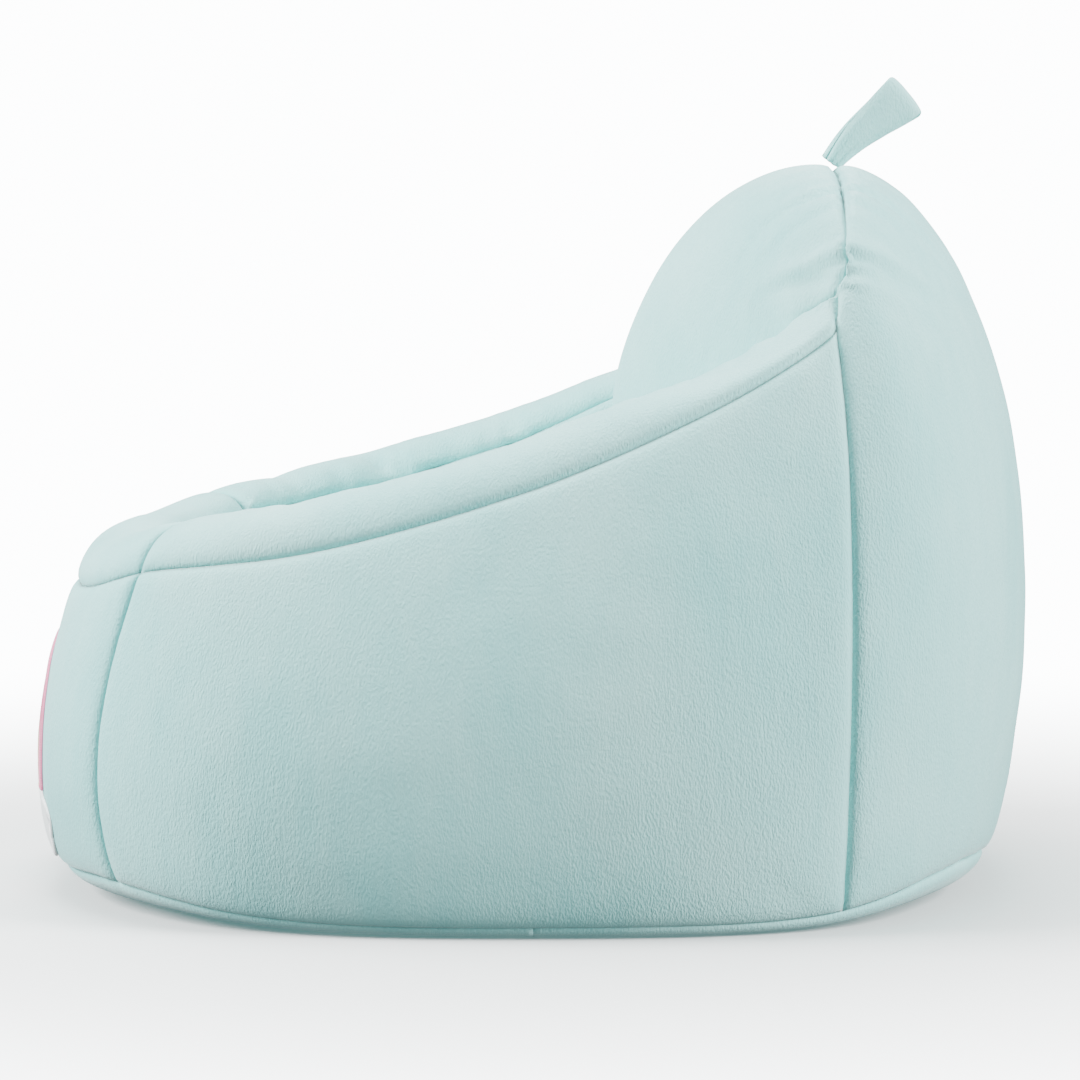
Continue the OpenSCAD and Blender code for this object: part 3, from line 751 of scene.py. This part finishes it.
def satin_edge(outline, length):
    """A proud line of close stitches along a closed outline(share) on the front panel."""
    count = int(length / STITCH_PITCH) * STITCH_STEPS

    def at(i, j):
        share = (i % count) / count
        y, z = outline(share)
        (y0, z0), (y1, z1) = outline((share - 0.002) % 1), outline((share + 0.002) % 1)
        way = Vector((y1 - y0, z1 - z0)).normalized()
        turn = math.pi * j / STITCH_ACROSS
        strand = 0.82 + 0.18 * math.cos(2 * math.pi * (i % STITCH_STEPS) / STITCH_STEPS)
        wobble = 0.0002 * noise.noise(Vector((i * 0.37, 1.0, 0.0)))
        off = -math.cos(turn) * STITCH_HALF * (0.92 + 0.08 * strand) + wobble
        return on_front(y - way.y * off, z + way.x * off, PATCH_LIFT + STITCH_PROUD * strand * math.sin(turn))
    made = grid_piece(count, STITCH_ACROSS, at)
    bmesh.ops.remove_doubles(made, verts=made.verts, dist=1e-6)
    bmesh.ops.recalc_face_normals(made, faces=made.faces)
    return made


def raise_front(made):
    """Turns a patch outwards: its faces look towards the front."""
    made.normal_update()
    if sum(f.normal.x for f in made.faces) > 0:
        bmesh.ops.reverse_faces(made, faces=made.faces)
    return made


RAINBOW_R, RAINBOW_BAND, RAINBOW_FOOT = 0.100, 0.015, 0.072
RAINBOW = [("rainbow_pink", (236, 138, 178), (246, 164, 196), (206, 92, 136), (226, 122, 162)),
           ("rainbow_yellow", (232, 230, 166), (242, 240, 188), (214, 208, 130), (232, 228, 160)),
           ("rainbow_green", (222, 238, 200), (236, 246, 218), (196, 222, 176), (216, 236, 198)),
           ("rainbow_blue", (176, 224, 226), (200, 238, 236), (146, 204, 210), (172, 222, 226))]
for order, (name, deep, pale, thread_deep, thread_pale) in enumerate(RAINBOW):
    outer = RAINBOW_R - order * RAINBOW_BAND
    inner_r = outer - RAINBOW_BAND
    steps, across = 120, 8

    def felt_at(i, j):
        turn, r = 180 * i / steps, outer - 0.0006 - (RAINBOW_BAND - 0.0012) * j / across
        crown = 0.0004 * math.sin(math.pi * j / across)
        return on_front(r * cosd(turn), RAINBOW_FOOT + r * sind(turn), PATCH_LIFT + PATCH_T + crown)

    patch = keep_piece(name + "_felt", raise_front(grid_piece(steps, across, felt_at)),
                       material=felt(name + "_felt", shade(*deep), shade(*pale)), stands_for=[name])
    thicken(patch, PATCH_T)
    math.pi * (outer + inner_r) / 2
    edge_out, edge_in = outer - 0.0015, inner_r + 0.0015
    lengths = [math.pi * edge_out, RAINBOW_BAND, math.pi * edge_in, RAINBOW_BAND]
    total = sum(lengths)

    def arc_outline(share):
        way = share * total
        if way < lengths[0]:
            turn = 180 * way / lengths[0]
            return edge_out * cosd(turn), RAINBOW_FOOT + edge_out * sind(turn)
        way -= lengths[0]
        if way < lengths[1]:
            return -edge_out + (edge_out - edge_in) * way / lengths[1], RAINBOW_FOOT
        way -= lengths[1]
        if way < lengths[2]:
            turn = 180 - 180 * way / lengths[2]
            return edge_in * cosd(turn), RAINBOW_FOOT + edge_in * sind(turn)
        way -= lengths[2]
        return edge_in + (edge_out - edge_in) * way / lengths[3], RAINBOW_FOOT

    keep_piece(name + "_satin_edge", satin_edge(arc_outline, total),
               material=thread(name + "_thread", shade(*thread_deep), shade(*thread_pale)))

CLOUD_Y, CLOUD_Z, CLOUD_HALF_W, CLOUD_HALF_H = 0.076, 0.048, 0.042, 0.021
cloud_felt = felt("cloud_felt", shade(226, 240, 240), shade(244, 251, 251))
cloud_thread = thread("cloud_thread", shade(236, 245, 245), shade(252, 254, 254))
for side, name in ((-1, "cloud_right"), (1, "cloud_left")):
    around, rings = 120, 10

    def cloud_edge(share, grow=1.0):
        turn = 360 * share
        puff = grow * (1 + 0.13 * abs(cosd(2.5 * (turn - 90))))
        return side * CLOUD_Y + CLOUD_HALF_W * puff * cosd(turn), CLOUD_Z + CLOUD_HALF_H * puff * sind(turn)

    def cloud_at(i, j):
        y, z = cloud_edge((i % around) / around, 0.985 * j / rings)
        return on_front(y, z, PATCH_LIFT + PATCH_T + 0.0006 * (1 - (j / rings) ** 2))

    made = grid_piece(around, rings, cloud_at)
    bmesh.ops.remove_doubles(made, verts=made.verts, dist=1e-6)
    patch = keep_piece(name + "_felt", raise_front(made), material=cloud_felt, stands_for=[name])
    thicken(patch, PATCH_T)
    keep_piece(name + "_satin_edge", satin_edge(lambda share: cloud_edge(share, 0.97), 0.235),
               material=cloud_thread)

# The carry loop is a strap of the same plush, folded flat and sewn shut, with both ends caught
# in the top seam. It stands up from the seam by its own stiffness and leans back.
LOOP_LEN, LOOP_GAP, LOOP_FOOT, BEND = 62.0, 10.0, 4.0, 13.0
FOOT_LEAN, TIP_LEAN = 38.0, 50.0
FOOT_W, STRAP_W, STRAP_T = 12.0, 33.0, 4.4
CAUGHT = 8.0
loop_root = arch_seam(0) + SHIFT + Vector((0, 0, 4.6))


def lean_at(d):
    return FOOT_LEAN + (TIP_LEAN - FOOT_LEAN) * max(0.0, min(1.0, d / (2 * BEND)))


def loop_path(d):
    steps = 8
    if d <= 0:
        return loop_root + Vector((sind(FOOT_LEAN), 0, cosd(FOOT_LEAN))) * d
    bent = min(d, 2 * BEND)
    place = loop_root + Vector((sind(TIP_LEAN), 0, cosd(TIP_LEAN))) * (d - bent)
    for k in range(steps):
        a = lean_at(bent * (k + 0.5) / steps)
        place += Vector((sind(a), 0, cosd(a))) * (bent / steps)
    return place


def loop_middle(q):
    along = (LOOP_LEN + CAUGHT) * (1 - abs(q) ** 2.4) - CAUGHT
    across = math.copysign(LOOP_FOOT * abs(q) ** 3 + LOOP_GAP * sind(180 * abs(q) ** 0.8), q)
    return along, across


LOOP_STEPS, LOOP_AROUND = 96, 28


def strap_at(i, j):
    q = 2 * i / LOOP_STEPS - 1
    (d0, y0), (d1, y1) = loop_middle(max(-1, q - 0.01)), loop_middle(min(1, q + 0.01))
    d, y = loop_middle(q)
    side_way = Vector((y1 - y0, d0 - d1)).normalized()
    turn = 2 * math.pi * (j % LOOP_AROUND) / LOOP_AROUND
    fade = abs(q) ** 2.9
    wide = (FOOT_W + (STRAP_W - FOOT_W) * (1 - fade)) / 2 * (1 - 0.12 * math.exp(-((q / 0.14) ** 2)))
    thick = STRAP_T / 2 * (1 + 0.35 * fade)
    w = wide * power(math.cos(turn), 0.75)
    off = thick * power(math.sin(turn), 0.8)
    pleat = 1.1 * fade * math.cos(3.2 * math.pi * w / wide) * (1 if off > 0 else -1)
    off += pleat
    lay = d + off * side_way.x
    a = lean_at(lay)
    drift = (2.2 if q > 0 else 0.0) * (1 - fade) - (3.0 if q > 0 else 0.0) * fade
    w -= drift
    place = loop_path(lay) + Vector((-w * cosd(a), y + off * side_way.y, w * sind(a)))
    return place / 1000


strap = grid_piece(LOOP_STEPS, LOOP_AROUND, strap_at)
bmesh.ops.remove_doubles(strap, verts=strap.verts, dist=1e-6)
bmesh.ops.holes_fill(strap, edges=strap.edges, sides=LOOP_AROUND)
bmesh.ops.recalc_face_normals(strap, faces=strap.faces)
carry_strap = keep_piece("carry_strap", strap, body="handle", material=plush_cloth,
                         stands_for=["carry_handle"])

# A blank care label of folded satin ribbon is caught in the left back seam, low down.
LABEL_W, LABEL_CAUGHT, LABEL_CURL, LABEL_ROW = 0.026, 0.0046, 0.009, 4
ribbon_weave = Cloth("label_ribbon")
ribs = ribbon_weave.stripes("Z", 900.0)
ribbon_weave.bump(ribs, 0.0002, 0.4)
ribbon = ribbon_weave.finish(ribbon_weave.mix(ribs, shade(232, 234, 230), shade(248, 249, 246)), 0.4)
label_low, label_high = skin_point(BACK_COLUMNS, LABEL_ROW), skin_point(BACK_COLUMNS, LABEL_ROW + 1)
label_out = outward(BACK_TURN)
label_back = -UP.cross(label_out)


def label_at(i, j):
    k = i / 20
    return (label_low.lerp(label_high, j / 16) + label_out * (k * LABEL_W - LABEL_CAUGHT)
            + label_back * (LABEL_CURL * k * k + 0.001 * math.sin(6 * k + j / 5)))


label = keep_piece("blank_care_label", grid_piece(20, 16, label_at), material=ribbon,
                   stands_for=["care_label"])
thicken(label, 0.0006)

# The zip lies in the slot of the base. Two woven tapes carry two rows of small plastic teeth,
# closed off by a metal stop at each end, and the slider has no pull tab, for safety.
tape_weave = Cloth("zip_tape_weave")
herringbone = tape_weave.stripes("DIAGONAL", 380.0, Distortion=1.5)
tape_weave.bump(herringbone, 0.0003, 0.7)
tape_cloth = tape_weave.finish(tape_weave.mix(herringbone, shade(176, 214, 216), shade(206, 234, 234)), 0.8)
die_cast = Cloth("zip_metal")
scratches = die_cast.grain(300.0, 3.0, (1, 6, 1))
die_cast.bump(scratches, 0.0001, 0.3)
zip_metal = die_cast.finish(die_cast.mix(scratches, shade(176, 180, 182), shade(206, 210, 212)),
                            scratches * 0.2 + 0.25, Metallic=1.0)
moulded = Cloth("zip_plastic")
zip_plastic = moulded.finish(moulded.mix(moulded.grain(200.0), shade(206, 226, 228),
                                         shade(224, 240, 240)), 0.35)
for name, finish in (("zip_tape_front", tape_cloth), ("zip_tape_rear", tape_cloth),
                     ("zip_end_stops", zip_metal)):
    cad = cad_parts[name]
    cad.data.materials.clear()
    cad.data.materials.append(finish)

TOOTH_PITCH, TOOTH_SHARE, TOOTH_STAGGER = 0.0016, 0.62, 0.25
EDGE_ROUND = 0.0003
for side, name in ((-1, "zip_coil_front"), (1, "zip_coil_rear")):
    low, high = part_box(name)
    middle = (low + high) / 2
    teeth = bmesh.new()
    count = int((high.y - low.y) / TOOTH_PITCH)
    for k in range(count):
        tooth = bmesh.ops.create_cube(teeth, size=1)["verts"]
        bmesh.ops.scale(teeth, verts=tooth, vec=(high.x - low.x, TOOTH_PITCH * TOOTH_SHARE, high.z - low.z))
        bmesh.ops.translate(teeth, verts=tooth, vec=(
            middle.x, low.y + TOOTH_PITCH * (k + 0.5 + (TOOTH_STAGGER if side > 0 else 0)), middle.z))
    bmesh.ops.bevel(teeth, geom=teeth.edges, offset=EDGE_ROUND, segments=1, profile=0.5,
                    affect="EDGES", material=-1)
    keep_piece(name + "_teeth", teeth, material=zip_plastic, stands_for=[name], smooth=False)

slider_low, slider_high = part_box("zip_slider")
PLATE_T, POST_W = 0.0013, 0.001
slider = bmesh.new()
slider_middle = (slider_low + slider_high) / 2
for z in (slider_low.z + PLATE_T / 2, slider_high.z - PLATE_T / 2):
    plate = bmesh.ops.create_cube(slider, size=1)["verts"]
    bmesh.ops.scale(slider, verts=plate, vec=(
        slider_high.x - slider_low.x, slider_high.y - slider_low.y, PLATE_T))
    bmesh.ops.translate(slider, verts=plate, vec=(0, slider_middle.y, z))
    corners = [e for e in slider.edges if set(e.verts) <= set(plate)
               and abs(e.verts[0].co.z - e.verts[1].co.z) > PLATE_T / 2]
    bmesh.ops.bevel(slider, geom=corners, offset=0.003, segments=6, profile=0.5,
                    affect="EDGES", material=-1)
rims = [e for e in slider.edges if len(e.link_faces) == 2
        and e.link_faces[0].normal.angle(e.link_faces[1].normal, 0) > 1]
bmesh.ops.bevel(slider, geom=rims, offset=EDGE_ROUND, segments=2, profile=0.5,
                affect="EDGES", material=-1)
post = bmesh.ops.create_cube(slider, size=1)["verts"]
bmesh.ops.scale(slider, verts=post, vec=(POST_W, 0.005, slider_high.z - slider_low.z - PLATE_T))
bmesh.ops.translate(slider, verts=post, vec=(0, slider_middle.y + 0.0005, slider_middle.z))
keep_piece("zip_slider_body", slider, body="slider", material=zip_metal,
           stands_for=["zip_slider"], smooth=False)

skin.free()
bpy.data.objects.remove(rough)
